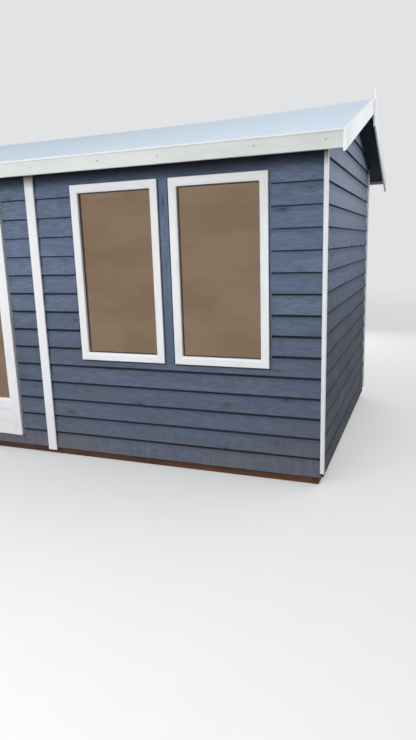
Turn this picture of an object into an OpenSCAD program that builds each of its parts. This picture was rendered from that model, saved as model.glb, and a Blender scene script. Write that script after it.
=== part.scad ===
// Timber garden office, apex roof with the ridge along the front, gable at each end.
// Millimetres, +Z up, origin on the floor at the centre of the plan, front towards -Y.

/* [Plan] */
// distance between cover strips, which is the width of one wall panel
panel_pitch = 1966; // [1800:1:2400]
// depth of the walls, board face to board face
house_d = 2220; // [1900:1:2600]

/* [Levels] */
// height of the timbers that the floor lies on
bearer_h = 50; // [38:1:100]
// thickness of the floor boards
deck_t = 18; // [15:1:24]
// lower edge of the wall boards
boards_z = 55; // [50:1:65]
// rise from the tops of doors and windows to the roof covering at the eaves
head_rise = 137; // [122:1:250]
// slope of the roof in degrees
roof_pitch = 16.6; // [14:0.1:20]

/* [Walls] */
// thickness of the lapped boarding, from the front of a lap to the back
clad_t = 18; // [14:0.5:22]
// width of a framing stud
stud_w = 45; // [38:1:63]
// depth of the wall framing
stud_d = 45; // [38:1:70]
// height of the rail along the top of the front and rear framing
top_rail_h = 70; // [45:1:90]

/* [Trim] */
// face width of the cover strip over a panel joint
strip_w = 70; // [50:1:90]
// thickness of the cover strip
strip_t = 14; // [9:1:20]
// lower end of the cover strips above the ground
strip_z = 41; // [20:1:55]
// how far the square corner battens stand in front of the boards
corner_proud = 7; // [4:1:12]
// lower end of the corner battens above the ground
corner_z = 86; // [60:1:120]

/* [Windows] */
// outer width of a window frame
win_w = 622; // [500:1:650]
// outer height of a window frame, down from the line of the door tops
win_h = 1144; // [900:1:1400]
// distance from the corner to the first window frame
win_edge = 331; // [250:1:360]
// gap between the two window frames of a panel
win_gap = 76; // [60:1:90]
// face width of a window frame
win_face = 52; // [40:1:70]
// depth of a window frame
win_t = 45; // [40:1:60]
// width of the slip between a window frame and the boards beside it
win_slip = 14; // [8:1:20]
// how far those slips lie behind the laps of the boards
slip_set = 6; // [2:1:10]
// width of the open joints beside the board between two windows
mullion_joint = 10; // [6:1:14]
// how far frames and door leaves stand in front of the boards
front_proud = 10; // [5:1:18]
// depth of the glass behind a window frame's face
glass_set = 26; // [8:1:30]
// thickness of the glass
glass_t = 4; // [3:1:6]

/* [Doors] */
// half the width across both door leaves
leaf_reach = 717; // [600:1:760]
// underside of a door leaf above the ground
leaf_z = 124; // [122:1:150]
// height of a door leaf
leaf_h = 1747; // [1600:1:2000]
// thickness of a door leaf
leaf_t = 40; // [35:1:44]
// clear gap where the two leaves meet
leaf_meet = 8; // [7:1:12]
// clear gap between a leaf and its post
leaf_gap = 5.5; // [5:0.5:8]
// width of the stiles and the top rail
stile_w = 70; // [55:1:90]
// width of the flush beads between the stiles and the door glass
bead_w = 22; // [12:1:30]
// underside of the rail below the door glass, above the leaf's foot
rail_z = 194; // [150:1:300]
// height of the rail below the door glass
rail_h = 85; // [60:1:100]
// height of the bottom rail
foot_h = 83; // [60:1:100]
// height of each butt hinge's centre from the nearer end of the leaf
hinge_in = 180; // [120:1:300]
// distance from the leaf's meeting edge to the handle's spindle
handle_in = 42; // [35:1:50]
// height of the handle's spindle above the leaf's foot
handle_up = 940; // [850:1:1050]
// length of the handle's lever
handle_l = 118; // [90:1:140]
// width of the slot between a leaf and the boards beside it
board_slot = 12; // [10:0.5:20]

/* [Roof] */
// front and rear overhang, from the wall boards to the face of the eaves board
eave_over = 260; // [200:1:350]
// overhang of the gable boards in front of the end walls
verge_over = 131; // [80:1:200]
// thickness of the roof boards
board_t = 15; // [12:1:20]
// thickness of the roof covering
felt_t = 3; // [2:0.5:5]
// thickness of the eaves boards
fascia_t = 20; // [16:1:25]
// thickness of the gable boards
barge_t = 14; // [10:1:25]
// plumb height of the gable boards
barge_h = 106; // [90:1:130]
// how far the gable boards stand above the roof covering at the peak
barge_rise = 14; // [0:1:25]
// depth of the front eaves board
fascia_h = 90; // [60:1:110]
// depth of the rear eaves board
rear_fascia_h = 38; // [30:1:110]
// side of the square purlins
purlin = 45; // [38:1:63]
// depth of the rafters and collars of the two roof frames
rafter_h = 70; // [60:1:95]
// depth of the beam under the ridge
ridge_h = 120; // [95:1:145]
// how far a collar's underside lies above the top of the wall framing
collar_up = 50; // [30:1:60]
// height of the thin battens that hold the covering's edge at the eaves
batten_h = 10; // [8:1:16]
// thickness of those battens
batten_t = 6; // [4:1:10]
// width of the upright board at the gable's peak
finial_w = 80; // [60:1:120]
// thickness of that board
finial_t = 14; // [10:1:25]
// how far that board stands above the ridge
finial_up = 54; // [30:1:80]
// how far that board hangs below the ridge
finial_down = 176; // [150:1:220]

/* [Hidden] */
leaf_top = leaf_z + leaf_h;
eave_z = leaf_top + head_rise;
win_z = leaf_top - win_h;
half_w = 1.5 * panel_pitch;
half_d = house_d / 2;
joint_x = panel_pitch / 2;
slope = tan(roof_pitch);
eave_y = half_d + eave_over;
verge_x = half_w + verge_over;
floor_z = bearer_h + deck_t;
clad_y = half_d - clad_t;
clad_x = half_w - clad_t;
inner_y = clad_y - stud_d;
inner_x = clad_x - stud_d;
// sloping faces that rest on each other stay this far apart
seat = 0.1;
felt_v = felt_t / cos(roof_pitch);
roof_t = felt_v + seat + board_t / cos(roof_pitch);
leaf_y = half_d + front_proud;
post_x = leaf_reach + leaf_gap;
slot_x = leaf_reach + board_slot;
// clear gap over the leaves, and under them down to the plain board
head_gap = 6;
sill_gap = 8;
head_z = leaf_top + head_gap;
// depth of the grooves that hold the glass, and the glass's room in them
glass_groove = 9;
glass_room = 1;
glass_hold = glass_groove - glass_room;
pin_x = leaf_reach + leaf_gap / 2;
pin_y = leaf_y + 4.5;
$fn = 32;

// top of the roof covering at a distance from the ridge line
function roof_z(y) = eave_z + (eave_y - abs(y)) * slope;
// where the pieces under the roof boards end
function under_z(y) = roof_z(y) - roof_t - seat;

// piece to draw, or all

paint_blue = [0.36, 0.41, 0.49];
paint_white = [0.86, 0.87, 0.87];
raw_wood = [0.72, 0.58, 0.42];
treated = [0.30, 0.17, 0.11];
felt_grey = [0.74, 0.80, 0.87];
metal = [0.62, 0.63, 0.65];
pane = [0.60, 0.70, 0.72, 0.35];

// a box given by its low and high corners
module span(a, b) {
    translate(a) cube([b[0] - a[0], b[1] - a[1], b[2] - a[2]]);
}

// a section drawn as [y, z] points, run along X from x0 to x1
module along_x(x0, x1, pts) {
    translate([x0, 0, 0]) rotate([90, 0, 90]) linear_extrude(x1 - x0) polygon(pts);
}

module mirrored_x() {
    children();
    mirror([1, 0, 0]) children();
}

module mirrored_y() {
    children();
    mirror([0, 1, 0]) children();
}

// Floor: long timbers on the ground tied by one at each end, and a boarded deck on them

module floor_bearers() {
    set_back = 30;
    y1 = half_d - set_back;
    x1 = half_w - set_back;
    color(treated) union() {
        for (i = [0 : 4]) {
            y = -y1 + i * (2 * y1 - stud_w) / 4;
            span([-x1, y, 0], [x1, y + stud_w, bearer_h]);
        }
        mirrored_x() span([x1 - stud_w, -y1, 0], [x1, y1, bearer_h]);
    }
}

module floor_deck() {
    color(raw_wood) span([-clad_x, -clad_y, bearer_h], [clad_x, clad_y, floor_z]);
}

// Wall boarding: one slab a panel, cut for its windows, bevelled on top to the roof

module front_slab(x0, x1, z0) {
    along_x(x0, x1, [[-half_d, z0], [-clad_y, z0], [-clad_y, under_z(clad_y)], [-half_d, under_z(half_d)]]);
}

// the left edges of the two window frames in the right-hand panel
win_xs = [half_w - win_edge - win_w, half_w - win_edge - 2 * win_w - win_gap];

module front_boards() {
    color(paint_blue) difference() {
        front_slab(joint_x, clad_x, boards_z);
        span([win_xs[1] - win_slip, -half_d - 1, win_z],
             [half_w - win_edge + win_slip, -clad_y + 1, leaf_top]);
    }
}

module front_boards_right() { front_boards(); }
module front_boards_left() { mirror([1, 0, 0]) front_boards(); }

module door_side_boards() {
    color(paint_blue) mirrored_x() front_slab(slot_x, joint_x, boards_z);
}

module door_head_boards() {
    color(paint_blue) front_slab(-slot_x, slot_x, leaf_top + board_slot);
}

// the plain board under the door leaves
module door_sill_board() {
    color(paint_blue) span([-slot_x, -half_d, boards_z], [slot_x, -clad_y, leaf_z - sill_gap]);
}

module rear_boards() {
    color(paint_blue) mirror([0, 1, 0]) front_slab(-clad_x, clad_x, boards_z);
}

module gable_boards() {
    y1 = clad_y;
    color(paint_blue) along_x(clad_x, half_w,
        [[-y1, boards_z], [y1, boards_z], [y1, under_z(y1)], [0, under_z(0)], [-y1, under_z(y1)]]);
}

module gable_boards_right() { gable_boards(); }
module gable_boards_left() { mirror([1, 0, 0]) gable_boards(); }

// Wall framing: studs between a bottom rail on the floor and a top rail under the roof

module frame_slab(x0, x1) {
    along_x(x0, x1, [[-clad_y, floor_z], [-inner_y, floor_z], [-inner_y, under_z(inner_y)],
                     [-clad_y, under_z(clad_y)]]);
}

// the top rail's underside
rail_top = under_z(clad_y) - top_rail_h;

module bay(x0, x1, z0, z1) {
    span([x0, -clad_y - 1, z0], [x1, -inner_y + 1, z1]);
}

module front_frame() {
    w0 = win_xs[1];
    w1 = half_w - win_edge;
    low = floor_z + stud_w;
    color(raw_wood) difference() {
        frame_slab(joint_x, clad_x);
        bay(joint_x + stud_w, w0 - stud_w, low, rail_top);
        bay(w1 + stud_w, clad_x - stud_w, low, rail_top);
        for (x = win_xs) {
            bay(x, x + win_w, win_z, leaf_top);
            bay(x, x + win_w, low, win_z - stud_w);
        }
    }
}

module front_frame_right() { front_frame(); }
module front_frame_left() { mirror([1, 0, 0]) front_frame(); }

// posts, lintel and threshold rail of the doorway, with the laths that the leaves shut against
module door_frame() {
    low = floor_z + stud_w;
    lath = 12;
    lath_gap = 6;
    lath_y = leaf_y - leaf_t - lath_gap;
    color(raw_wood) union() {
        difference() {
            frame_slab(-joint_x, joint_x);
            bay(-post_x, post_x, low, head_z);
            mirrored_x() bay(post_x + stud_w, joint_x - stud_w, low, rail_top);
        }
        mirrored_x() span([post_x - lath, -lath_y, low], [post_x, -inner_y, head_z]);
        span([-post_x, -lath_y, head_z - lath], [post_x, -inner_y, head_z]);
    }
}

module rear_frame() {
    low = floor_z + stud_w;
    bay_w = (panel_pitch - stud_w) / 3;
    color(raw_wood) mirror([0, 1, 0]) difference() {
        frame_slab(-clad_x, clad_x);
        for (p = [-1 : 1], i = [0 : 2]) {
            x0 = max(p * panel_pitch - joint_x + stud_w / 2 + i * bay_w, -clad_x) + stud_w / 2;
            x1 = min(p * panel_pitch - joint_x + stud_w / 2 + (i + 1) * bay_w, clad_x) - stud_w / 2;
            bay(x0, x1, low, rail_top);
        }
    }
}

module gable_frame() {
    y1 = inner_y;
    low = floor_z + stud_w;
    gap = (2 * y1 - stud_w) / 4;
    color(raw_wood) difference() {
        along_x(inner_x, clad_x,
            [[-y1, floor_z], [y1, floor_z], [y1, under_z(y1)], [0, under_z(0)], [-y1, under_z(y1)]]);
        for (i = [0 : 3]) {
            a = -y1 + stud_w + i * gap;
            b = a + gap - stud_w;
            lift = 60;
            along_x(inner_x - 1, clad_x + 1,
                [[a, low], [b, low], [b, under_z(b) - lift], [a, under_z(a) - lift]]);
        }
    }
}

module gable_frame_right() { gable_frame(); }
module gable_frame_left() { mirror([1, 0, 0]) gable_frame(); }

// Trim: strips over the panel joints, square battens at the corners, a board between windows

module cover_strips() {
    y1 = half_d + strip_t;
    color(paint_white) mirrored_x() mirrored_y()
        along_x(joint_x - strip_w / 2, joint_x + strip_w / 2,
            [[-y1, strip_z], [-half_d, strip_z], [-half_d, under_z(half_d)], [-y1, under_z(y1)]]);
}

module corner_battens() {
    y1 = half_d + corner_proud;
    color(paint_white) mirrored_x() mirrored_y()
        along_x(clad_x, half_w + corner_proud,
            [[-y1, corner_z], [-clad_y, corner_z], [-clad_y, under_z(clad_y)], [-y1, under_z(y1)]]);
}

// the board between the windows of a pair, and the slips on either side of the pair
module window_mullions() {
    x0 = win_xs[1] + win_w + mullion_joint;
    x1 = win_xs[0] - mullion_joint;
    slip_y = slip_set - half_d;
    color(paint_blue) mirrored_x() {
        span([x0, -half_d, win_z], [x1, -clad_y, leaf_top]);
        for (x = [win_xs[1] - win_slip, win_xs[0] + win_w])
            span([x, slip_y, win_z], [x + win_slip, -clad_y, leaf_top]);
    }
}

// Windows: a mitred frame with the glass let into a groove, fixed between the studs

module window_frame(x) {
    y0 = -leaf_y;
    g0 = y0 + glass_set;
    f = win_face;
    difference() {
        span([x, y0, win_z], [x + win_w, y0 + win_t, leaf_top]);
        span([x + f, y0 - 1, win_z + f], [x + win_w - f, y0 + win_t + 1, leaf_top - f]);
        span([x + f - glass_groove, g0, win_z + f - glass_groove],
             [x + win_w - f + glass_groove, g0 + glass_t, leaf_top - f + glass_groove]);
    }
}

module window_pane(x) {
    g0 = -leaf_y + glass_set;
    e = win_face - glass_hold;
    span([x + e, g0, win_z + e], [x + win_w - e, g0 + glass_t, leaf_top - e]);
}

module window_frames_right() {
    color(paint_white) for (x = win_xs) window_frame(x);
}

module window_frames_left() {
    color(paint_white) mirror([1, 0, 0]) for (x = win_xs) window_frame(x);
}

module window_glass_right() {
    color(pane) for (x = win_xs) window_pane(x);
}

module window_glass_left() {
    color(pane) mirror([1, 0, 0]) for (x = win_xs) window_pane(x);
}

// Doors: two framed leaves, glass above a boarded panel, hung on butt hinges at the outer edge

panel_low = leaf_z + foot_h;
panel_top = leaf_z + rail_z;
pane_low = panel_top + rail_h;
pane_top = leaf_top - stile_w - bead_w;
leaf_x0 = leaf_meet / 2;
leaf_glass_set = 14;
leaf_glass_y = leaf_y - leaf_glass_set;

module leaf() {
    x0 = leaf_x0 + stile_w;
    x1 = leaf_reach - stile_w;
    g0 = x0 + bead_w;
    g1 = x1 - bead_w;
    color(paint_white) difference() {
        span([leaf_x0, -leaf_y, leaf_z], [leaf_reach, -leaf_y + leaf_t, leaf_top]);
        span([g0, -leaf_y - 1, pane_low], [g1, -leaf_y + leaf_t + 1, pane_top]);
        span([x0, -leaf_y - 1, panel_low], [x1, -leaf_y + leaf_t + 1, panel_top]);
        span([g0 - glass_groove, -leaf_glass_y, pane_low - glass_groove],
             [g1 + glass_groove, -leaf_glass_y + glass_t, pane_top + glass_groove]);
    }
}

module leaf_panel() {
    x0 = leaf_x0 + stile_w;
    x1 = leaf_reach - stile_w;
    panel_set = 4;
    panel_t = 14;
    color(paint_white)
        span([x0, -leaf_y + panel_set, panel_low], [x1, -leaf_y + panel_set + panel_t, panel_top]);
}

module leaf_pane() {
    x0 = leaf_x0 + stile_w + bead_w - glass_hold;
    x1 = leaf_reach - stile_w - bead_w + glass_hold;
    color(pane) span([x0, -leaf_glass_y, pane_low - glass_hold],
                     [x1, -leaf_glass_y + glass_t, pane_top + glass_hold]);
}

module door_leaf_right() { leaf(); }
module door_leaf_left() { mirror([1, 0, 0]) leaf(); }
module door_panel_right() { leaf_panel(); }
module door_panel_left() { mirror([1, 0, 0]) leaf_panel(); }
module door_glass_right() { leaf_pane(); }
module door_glass_left() { mirror([1, 0, 0]) leaf_pane(); }

// three butt hinges a leaf: the middle knuckle is on the post, the outer two on the leaf
hinge_zs = [leaf_z + hinge_in, leaf_z + leaf_h / 2, leaf_top - hinge_in];
knuckle = 24;
knuckle_r = 4.5;
plate_t = 2;

module knuckle_at(z) {
    translate([pin_x, -pin_y, z - knuckle / 2]) cylinder(r = knuckle_r, h = knuckle, $fn = 24);
}

module hinge_post_half(z) {
    reach = 1.5 * knuckle;
    front = -pin_y + knuckle_r + 1;
    union() {
        knuckle_at(z);
        span([pin_x, -pin_y, z - knuckle / 2], [post_x, front + 1, z + knuckle / 2]);
        span([post_x - plate_t, front, z - reach], [post_x, front + 44, z + reach]);
    }
}

module hinge_leaf_half(z) {
    for (s = [-1, 1]) union() {
        knuckle_z = z + s * (knuckle + 0.6);
        knuckle_at(knuckle_z);
        span([leaf_reach, -pin_y, knuckle_z - knuckle / 2],
             [leaf_reach + plate_t, -pin_y + 36, knuckle_z + knuckle / 2]);
    }
}

module hinge_plates() {
    color(metal) mirrored_x() for (z = hinge_zs) hinge_post_half(z);
}

module hinges_right() {
    color(metal) for (z = hinge_zs) hinge_leaf_half(z);
}

module hinges_left() {
    color(metal) mirror([1, 0, 0]) for (z = hinge_zs) hinge_leaf_half(z);
}

// lever handle and plate on both faces of the leaf that opens first
module door_handle() {
    plate = [40, 7, 190];
    plate_low = 40;
    spindle = [leaf_x0 + handle_in, leaf_z + handle_up];
    bar_r = 9;
    reach = 42;
    color(metal) for (face = [[-leaf_y, 90], [leaf_t - leaf_y, -90]])
        translate([spindle[0], face[0], spindle[1]]) rotate([face[1], 0, 0]) union() {
            translate([-plate[0] / 2, -sign(face[1]) * plate_low - plate[2] / 2, 0])
                cube([plate[0], plate[2], plate[1]]);
            cylinder(r = bar_r, h = reach + bar_r / 2);
            translate([0, 0, reach]) rotate([0, 90, 0]) cylinder(r = bar_r, h = handle_l);
        }
}

// Roof: a beam at the ridge and purlins on two trusses, boards down the slope, felt over them

module ridge_beam() {
    b = stud_w / 2;
    low = under_z(0) - ridge_h;
    color(raw_wood) along_x(-inner_x, inner_x,
        [[-b, low], [b, low], [b, under_z(b)], [0, under_z(0)], [-b, under_z(b)]]);
}

module purlins() {
    y1 = inner_y * 0.5;
    h = purlin / cos(roof_pitch);
    color(raw_wood) mirrored_y() along_x(-inner_x, inner_x,
        [[-y1, under_z(y1)], [-y1, under_z(y1) - h], [-y1 + purlin, under_z(y1 - purlin) - h],
         [-y1 + purlin, under_z(y1 - purlin)]]);
}

module roof_trusses() {
    b = stud_w / 2;
    drop = purlin / cos(roof_pitch) + seat;
    h = rafter_h / cos(roof_pitch);
    collar_z = under_z(inner_y) + collar_up;
    collar_y = inner_y - (collar_z + rafter_h + drop - under_z(inner_y)) / slope;
    color(raw_wood) mirrored_x() translate([joint_x, 0, 0]) union() {
        mirrored_y() along_x(-b, b,
            [[-inner_y, under_z(inner_y) - drop], [-inner_y, under_z(inner_y) - drop - h],
             [-b, under_z(b) - drop - h], [-b, under_z(b) - drop]]);
        span([-b, -collar_y, collar_z], [b, collar_y, collar_z + rafter_h]);
    }
}

// the roof boards stop behind the gable boards and behind the eaves board
module slope_slab(x1, y1, top, bottom) {
    along_x(-x1, x1, [[-y1, roof_z(y1) - top], [0, roof_z(0) - top], [0, roof_z(0) - bottom],
                      [-y1, roof_z(y1) - bottom]]);
}

module roof_boards_front() {
    color(raw_wood) slope_slab(verge_x - barge_t, eave_y - fascia_t, felt_v + seat, roof_t);
}

module roof_boards_rear() {
    color(raw_wood) mirror([0, 1, 0]) slope_slab(verge_x - barge_t, eave_y - fascia_t, felt_v + seat, roof_t);
}

module roof_felt_front() {
    color(felt_grey) slope_slab(verge_x - barge_t, eave_y, 0, felt_v);
}

module roof_felt_rear() {
    color(felt_grey) mirror([0, 1, 0]) slope_slab(verge_x - barge_t, eave_y, 0, felt_v);
}

// eaves board between the gable boards, with a thin batten over the felt's edge
module fascia(low) {
    x0 = verge_x - barge_t;
    y0 = eave_y - fascia_t;
    color(paint_white) union() {
        along_x(-x0, x0,
            [[-eave_y, low], [-y0, low], [-y0, roof_z(y0) - felt_v - seat],
             [-eave_y, roof_z(eave_y) - felt_v - seat]]);
        span([-x0, -eave_y - batten_t, eave_z - batten_h], [x0, -eave_y, eave_z]);
    }
}

module fascia_front() { fascia(eave_z - fascia_h); }
module fascia_rear() { mirror([0, 1, 0]) fascia(eave_z - rear_fascia_h); }

// gable boards over the ends of the roof boards and covering, meeting at the peak
module bargeboards() {
    foot = roof_z(eave_y);
    peak = roof_z(0) + barge_rise;
    color(paint_white) along_x(verge_x - barge_t, verge_x,
        [[-eave_y, foot], [0, peak], [eave_y, foot],
         [eave_y, foot - barge_h], [0, peak - barge_h], [-eave_y, foot - barge_h]]);
}

module bargeboards_right() { bargeboards(); }
module bargeboards_left() { mirror([1, 0, 0]) bargeboards(); }

module finials() {
    y = finial_w / 2;
    peak = roof_z(0);
    color(paint_white) mirrored_x()
        span([verge_x, -y, peak - finial_down], [verge_x + finial_t, y, peak + finial_up]);
}

floor_bearers();
floor_deck();
front_boards_left();
front_boards_right();
door_side_boards();
door_head_boards();
door_sill_board();
rear_boards();
gable_boards_left();
gable_boards_right();
front_frame_left();
front_frame_right();
door_frame();
rear_frame();
gable_frame_left();
gable_frame_right();
cover_strips();
corner_battens();
window_mullions();
window_frames_left();
window_frames_right();
window_glass_left();
window_glass_right();
door_leaf_left();
door_leaf_right();
door_panel_left();
door_panel_right();
door_glass_left();
door_glass_right();
hinge_plates();
hinges_left();
hinges_right();
door_handle();
ridge_beam();
purlins();
roof_trusses();
roof_boards_front();
roof_boards_rear();
roof_felt_front();
roof_felt_rear();
fascia_front();
fascia_rear();
bargeboards_left();
bargeboards_right();
finials();
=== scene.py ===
import math
import random

import bmesh
import bpy
from mathutils import Matrix, Vector


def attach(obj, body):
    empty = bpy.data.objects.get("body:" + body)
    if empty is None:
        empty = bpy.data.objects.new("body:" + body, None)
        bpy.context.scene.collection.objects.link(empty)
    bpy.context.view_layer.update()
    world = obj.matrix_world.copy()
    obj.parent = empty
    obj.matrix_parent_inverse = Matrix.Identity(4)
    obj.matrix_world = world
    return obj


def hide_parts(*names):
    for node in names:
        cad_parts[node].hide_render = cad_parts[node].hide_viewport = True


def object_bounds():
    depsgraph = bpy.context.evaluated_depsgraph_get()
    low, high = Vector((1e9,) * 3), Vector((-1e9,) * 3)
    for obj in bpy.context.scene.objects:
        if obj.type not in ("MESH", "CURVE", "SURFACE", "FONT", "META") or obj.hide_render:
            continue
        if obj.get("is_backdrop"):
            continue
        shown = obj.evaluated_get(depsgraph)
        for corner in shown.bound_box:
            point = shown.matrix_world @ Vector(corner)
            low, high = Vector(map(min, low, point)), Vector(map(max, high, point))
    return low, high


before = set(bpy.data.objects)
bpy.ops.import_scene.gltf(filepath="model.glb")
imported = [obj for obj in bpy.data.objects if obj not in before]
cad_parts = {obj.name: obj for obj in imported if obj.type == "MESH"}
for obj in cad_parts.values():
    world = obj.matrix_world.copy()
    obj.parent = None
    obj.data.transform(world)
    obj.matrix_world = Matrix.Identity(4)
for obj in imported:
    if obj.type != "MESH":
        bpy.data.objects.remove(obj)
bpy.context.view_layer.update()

# The camera stands where the photograph was taken: by the right-hand corner at eye height,
# turned left towards the doors and tilted down. Its focal length is for a frame 740 high.
eye = Vector((3.48993, -4.36767, 1.47331))
turn, tilt, lean = (math.radians(a) for a in (-21.345, -12.504, 1.762))
sensor, focal, frame_h = 36.0, 566.10, 740.0
ahead = Vector((math.sin(turn) * math.cos(tilt), math.cos(turn) * math.cos(tilt), math.sin(tilt)))
level = Vector((math.cos(turn), -math.sin(turn), 0))
above = level.cross(ahead)
rightwards = math.cos(lean) * level - math.sin(lean) * above
upwards = math.sin(lean) * level + math.cos(lean) * above
facing = Matrix((rightwards, upwards, -ahead)).transposed().to_4x4()
camera = bpy.data.objects.new("camera", bpy.data.cameras.new("camera"))
camera.data.sensor_width = sensor
camera.data.lens = sensor * focal / frame_h
camera.data.clip_end = 200.0
camera.matrix_world = Matrix.Translation(eye) @ facing
bpy.context.scene.collection.objects.link(camera)
bpy.context.scene.camera = camera


# The floor timbers are five sawn lengths that run along the building, tied by one across each
# end. They are pressure treated brown and stay bare; the brown is darkened further as painted shade
# for their place under the wall boards.
class Joinery:
    """Sawn pieces gathered into one mesh. Each knows its grain: metres along, across and through."""

    clear_of_laps = 0.05

    def __init__(self, seed):
        self.bm = bmesh.new()
        self.grain = self.bm.verts.layers.float_vector.new("grain")
        self.member = self.bm.verts.layers.float.new("member")
        self.above_lap = self.bm.verts.layers.float.new("above_lap")
        self.draw = random.Random(seed)

    def saw(self):
        """Takes a fresh length of timber: its place in the tree and its own shade."""
        self.shift = Vector([self.draw.uniform(0, 30) for _ in range(3)])
        self.shade = self.draw.random()

    def corner(self, point, along, across, through, above_lap=clear_of_laps):
        v = self.bm.verts.new(point)
        v[self.grain] = Vector((along, across, through)) + self.shift
        v[self.member] = self.shade
        v[self.above_lap] = above_lap
        return v

    def stick(self, section, start, end, side, up, cut_start=(0, 0), cut_end=(0, 0), steps=1):
        """A length from start to end. section holds (side, up) points; a cut slopes an end by them."""
        self.saw()
        start, end, side, up = Vector(start), Vector(end), Vector(side), Vector(up)
        length = (end - start).length
        along = (end - start) / length
        rings = []
        for i in range(steps + 1):
            t = i / steps
            ring = []
            for s, u in section:
                slant = (1 - t) * (cut_start[0] * s + cut_start[1] * u)
                slant += t * (cut_end[0] * s + cut_end[1] * u)
                place = start + along * (t * length + slant) + side * s + up * u
                ring.append(self.corner(place, t * length + slant, s, u))
            rings.append(ring)
        n = len(section)
        for p, q in zip(rings, rings[1:]):
            for i in range(n):
                self.bm.faces.new((p[i], p[(i + 1) % n], q[(i + 1) % n], q[i]))
        self.bm.faces.new(rings[0][::-1])
        self.bm.faces.new(rings[-1])

    def timber(self, low, high, ease=0.0015, grain_axis=None):
        """A planed length between two opposite corners, its long edges eased."""
        pairs = list(zip(low, high))
        low, high = Vector([min(p) for p in pairs]), Vector([max(p) for p in pairs])
        size = high - low
        axis = max(range(3), key=lambda i: size[i]) if grain_axis is None else grain_axis
        s, u = [i for i in range(3) if i != axis]
        end = low.copy()
        end[axis] = high[axis]
        unit = Matrix.Identity(3)
        self.stick(eased(size[s], size[u], ease), low, end, unit[s], unit[u])

    def fit(self, name, finishes, slot, stands_for=(), body="root"):
        """Makes the gathered lengths one part of the building, riding on a body."""
        bmesh.ops.recalc_face_normals(self.bm, faces=self.bm.faces)
        mesh = bpy.data.meshes.new(name)
        self.bm.to_mesh(mesh)
        self.bm.free()
        for finish in finishes:
            mesh.materials.append(finish)
        mesh.shade_smooth()
        mesh.set_sharp_from_angle(angle=math.radians(18))
        part = bpy.data.objects.new(name, mesh)
        bpy.context.scene.collection.objects.link(part)
        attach(part, body)
        if stands_for:
            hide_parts(*stands_for)


def eased(w, h, r):
    """A planed section of w by h with its four corners taken off."""
    return [(r, 0), (w - r, 0), (w, r), (w, h - r), (w - r, h), (r, h), (0, h - r), (0, r)]


class Shade:
    """One output of a finish's nodes. Sums written on it add Math nodes."""

    def __init__(self, finish, socket):
        self.finish, self.socket = finish, socket

    def __add__(self, other):
        return self.finish.sum("ADD", self, other)

    def __sub__(self, other):
        return self.finish.sum("SUBTRACT", self, other)

    def __rsub__(self, other):
        return self.finish.sum("SUBTRACT", other, self)

    def __mul__(self, other):
        return self.finish.sum("MULTIPLY", self, other)

    __radd__, __rmul__ = __add__, __mul__

    def __getitem__(self, name):
        return Shade(self.finish, self.socket.node.outputs[name])


class Finish:
    """A finish built from nodes, with the few steps that every coat of paint or timber needs."""

    def __init__(self, name, kept_in=bpy.data.materials):
        self.owner = kept_in.new(name)
        self.owner.use_nodes = True
        self.tree = self.owner.node_tree
        self.tree.nodes.clear()

    def node(self, kind, settings=None, sockets=None, out=0):
        made = self.tree.nodes.new("ShaderNode" + kind)
        for key, value in (settings or {}).items():
            setattr(made, key, value)
        for key, value in (sockets or {}).items():
            if isinstance(value, Shade):
                self.tree.links.new(value.socket, made.inputs[key])
            else:
                made.inputs[key].default_value = value
        return Shade(self, made.outputs[out]) if made.outputs else None

    def sum(self, operation, *values):
        return self.node("Math", {"operation": operation}, dict(enumerate(values)))

    def stored(self, name, out="Fac"):
        return self.node("Attribute", {"attribute_name": name})[out]

    def place(self):
        return self.node("TexCoord")["Object"]

    def split(self, vector):
        return self.node("SeparateXYZ", None, {0: vector})

    def stretch(self, vector, scale):
        return self.node("VectorMath", {"operation": "MULTIPLY"}, {0: vector, 1: scale})

    def cloud(self, vector, scale=1.0, detail=3.0, rough=0.5):
        sockets = {"Vector": vector, "Scale": scale, "Detail": detail, "Roughness": rough}
        return self.node("TexNoise", None, sockets)["Fac"]

    def figure(self, grain, along, across, detail=3.0, rough=0.5):
        """Marks drawn out along the grain: about how many to a metre along it and across it."""
        return self.cloud(self.stretch(grain, (along, across, across)), 1.0, detail, rough)

    def knots(self, grain, spread, dimensions="3D"):
        sockets = {"Vector": self.stretch(grain, spread), "Scale": 1.0}
        return self.node("TexVoronoi", {"voronoi_dimensions": dimensions}, sockets)

    def between(self, value, low, high, first=0.0, last=1.0):
        """first up to low, last from high on, and a smooth change in between."""
        sockets = {"Value": value, "From Min": low, "From Max": high, "To Min": first, "To Max": last}
        return self.node("MapRange", {"interpolation_type": "SMOOTHSTEP"}, sockets)

    def blend(self, share, first, second):
        return self.node("Mix", {"data_type": "RGBA"}, {0: share, 6: first, 7: second}, out=2)

    def layered(self, colour, *coats):
        """Lays colours over one another, each with the share of the surface that it takes."""
        for share, over in coats:
            colour = self.blend(share, colour, over)
        return colour

    def bumped(self, height, depth):
        return self.node("Bump", None, {"Height": height, "Distance": depth, "Strength": 1.0})

    def coat(self, colour, roughness, normal, **more):
        """The outer surface. Values that are the same all over are set on its own sockets."""
        sockets = {"Base Color": colour, "Roughness": roughness, "Normal": normal}
        sockets.update({key.replace("_", " "): value for key, value in more.items()})
        surface = self.node("BsdfPrincipled", None, sockets)
        self.node("OutputMaterial", None, {"Surface": surface})
        return self.owner


def tint(r, g, b):
    """A colour as it is read off a swatch, 0 to 255, in the renderer's own scale."""
    return tuple(((c / 255 + 0.055) / 1.055) ** 2.4 if c > 10 else c / 3294 for c in (r, g, b)) + (1.0,)


def dimmed(colour, share):
    """A colour with only a share of its light."""
    return tuple(share * c for c in colour[:3]) + (1.0,)


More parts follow.
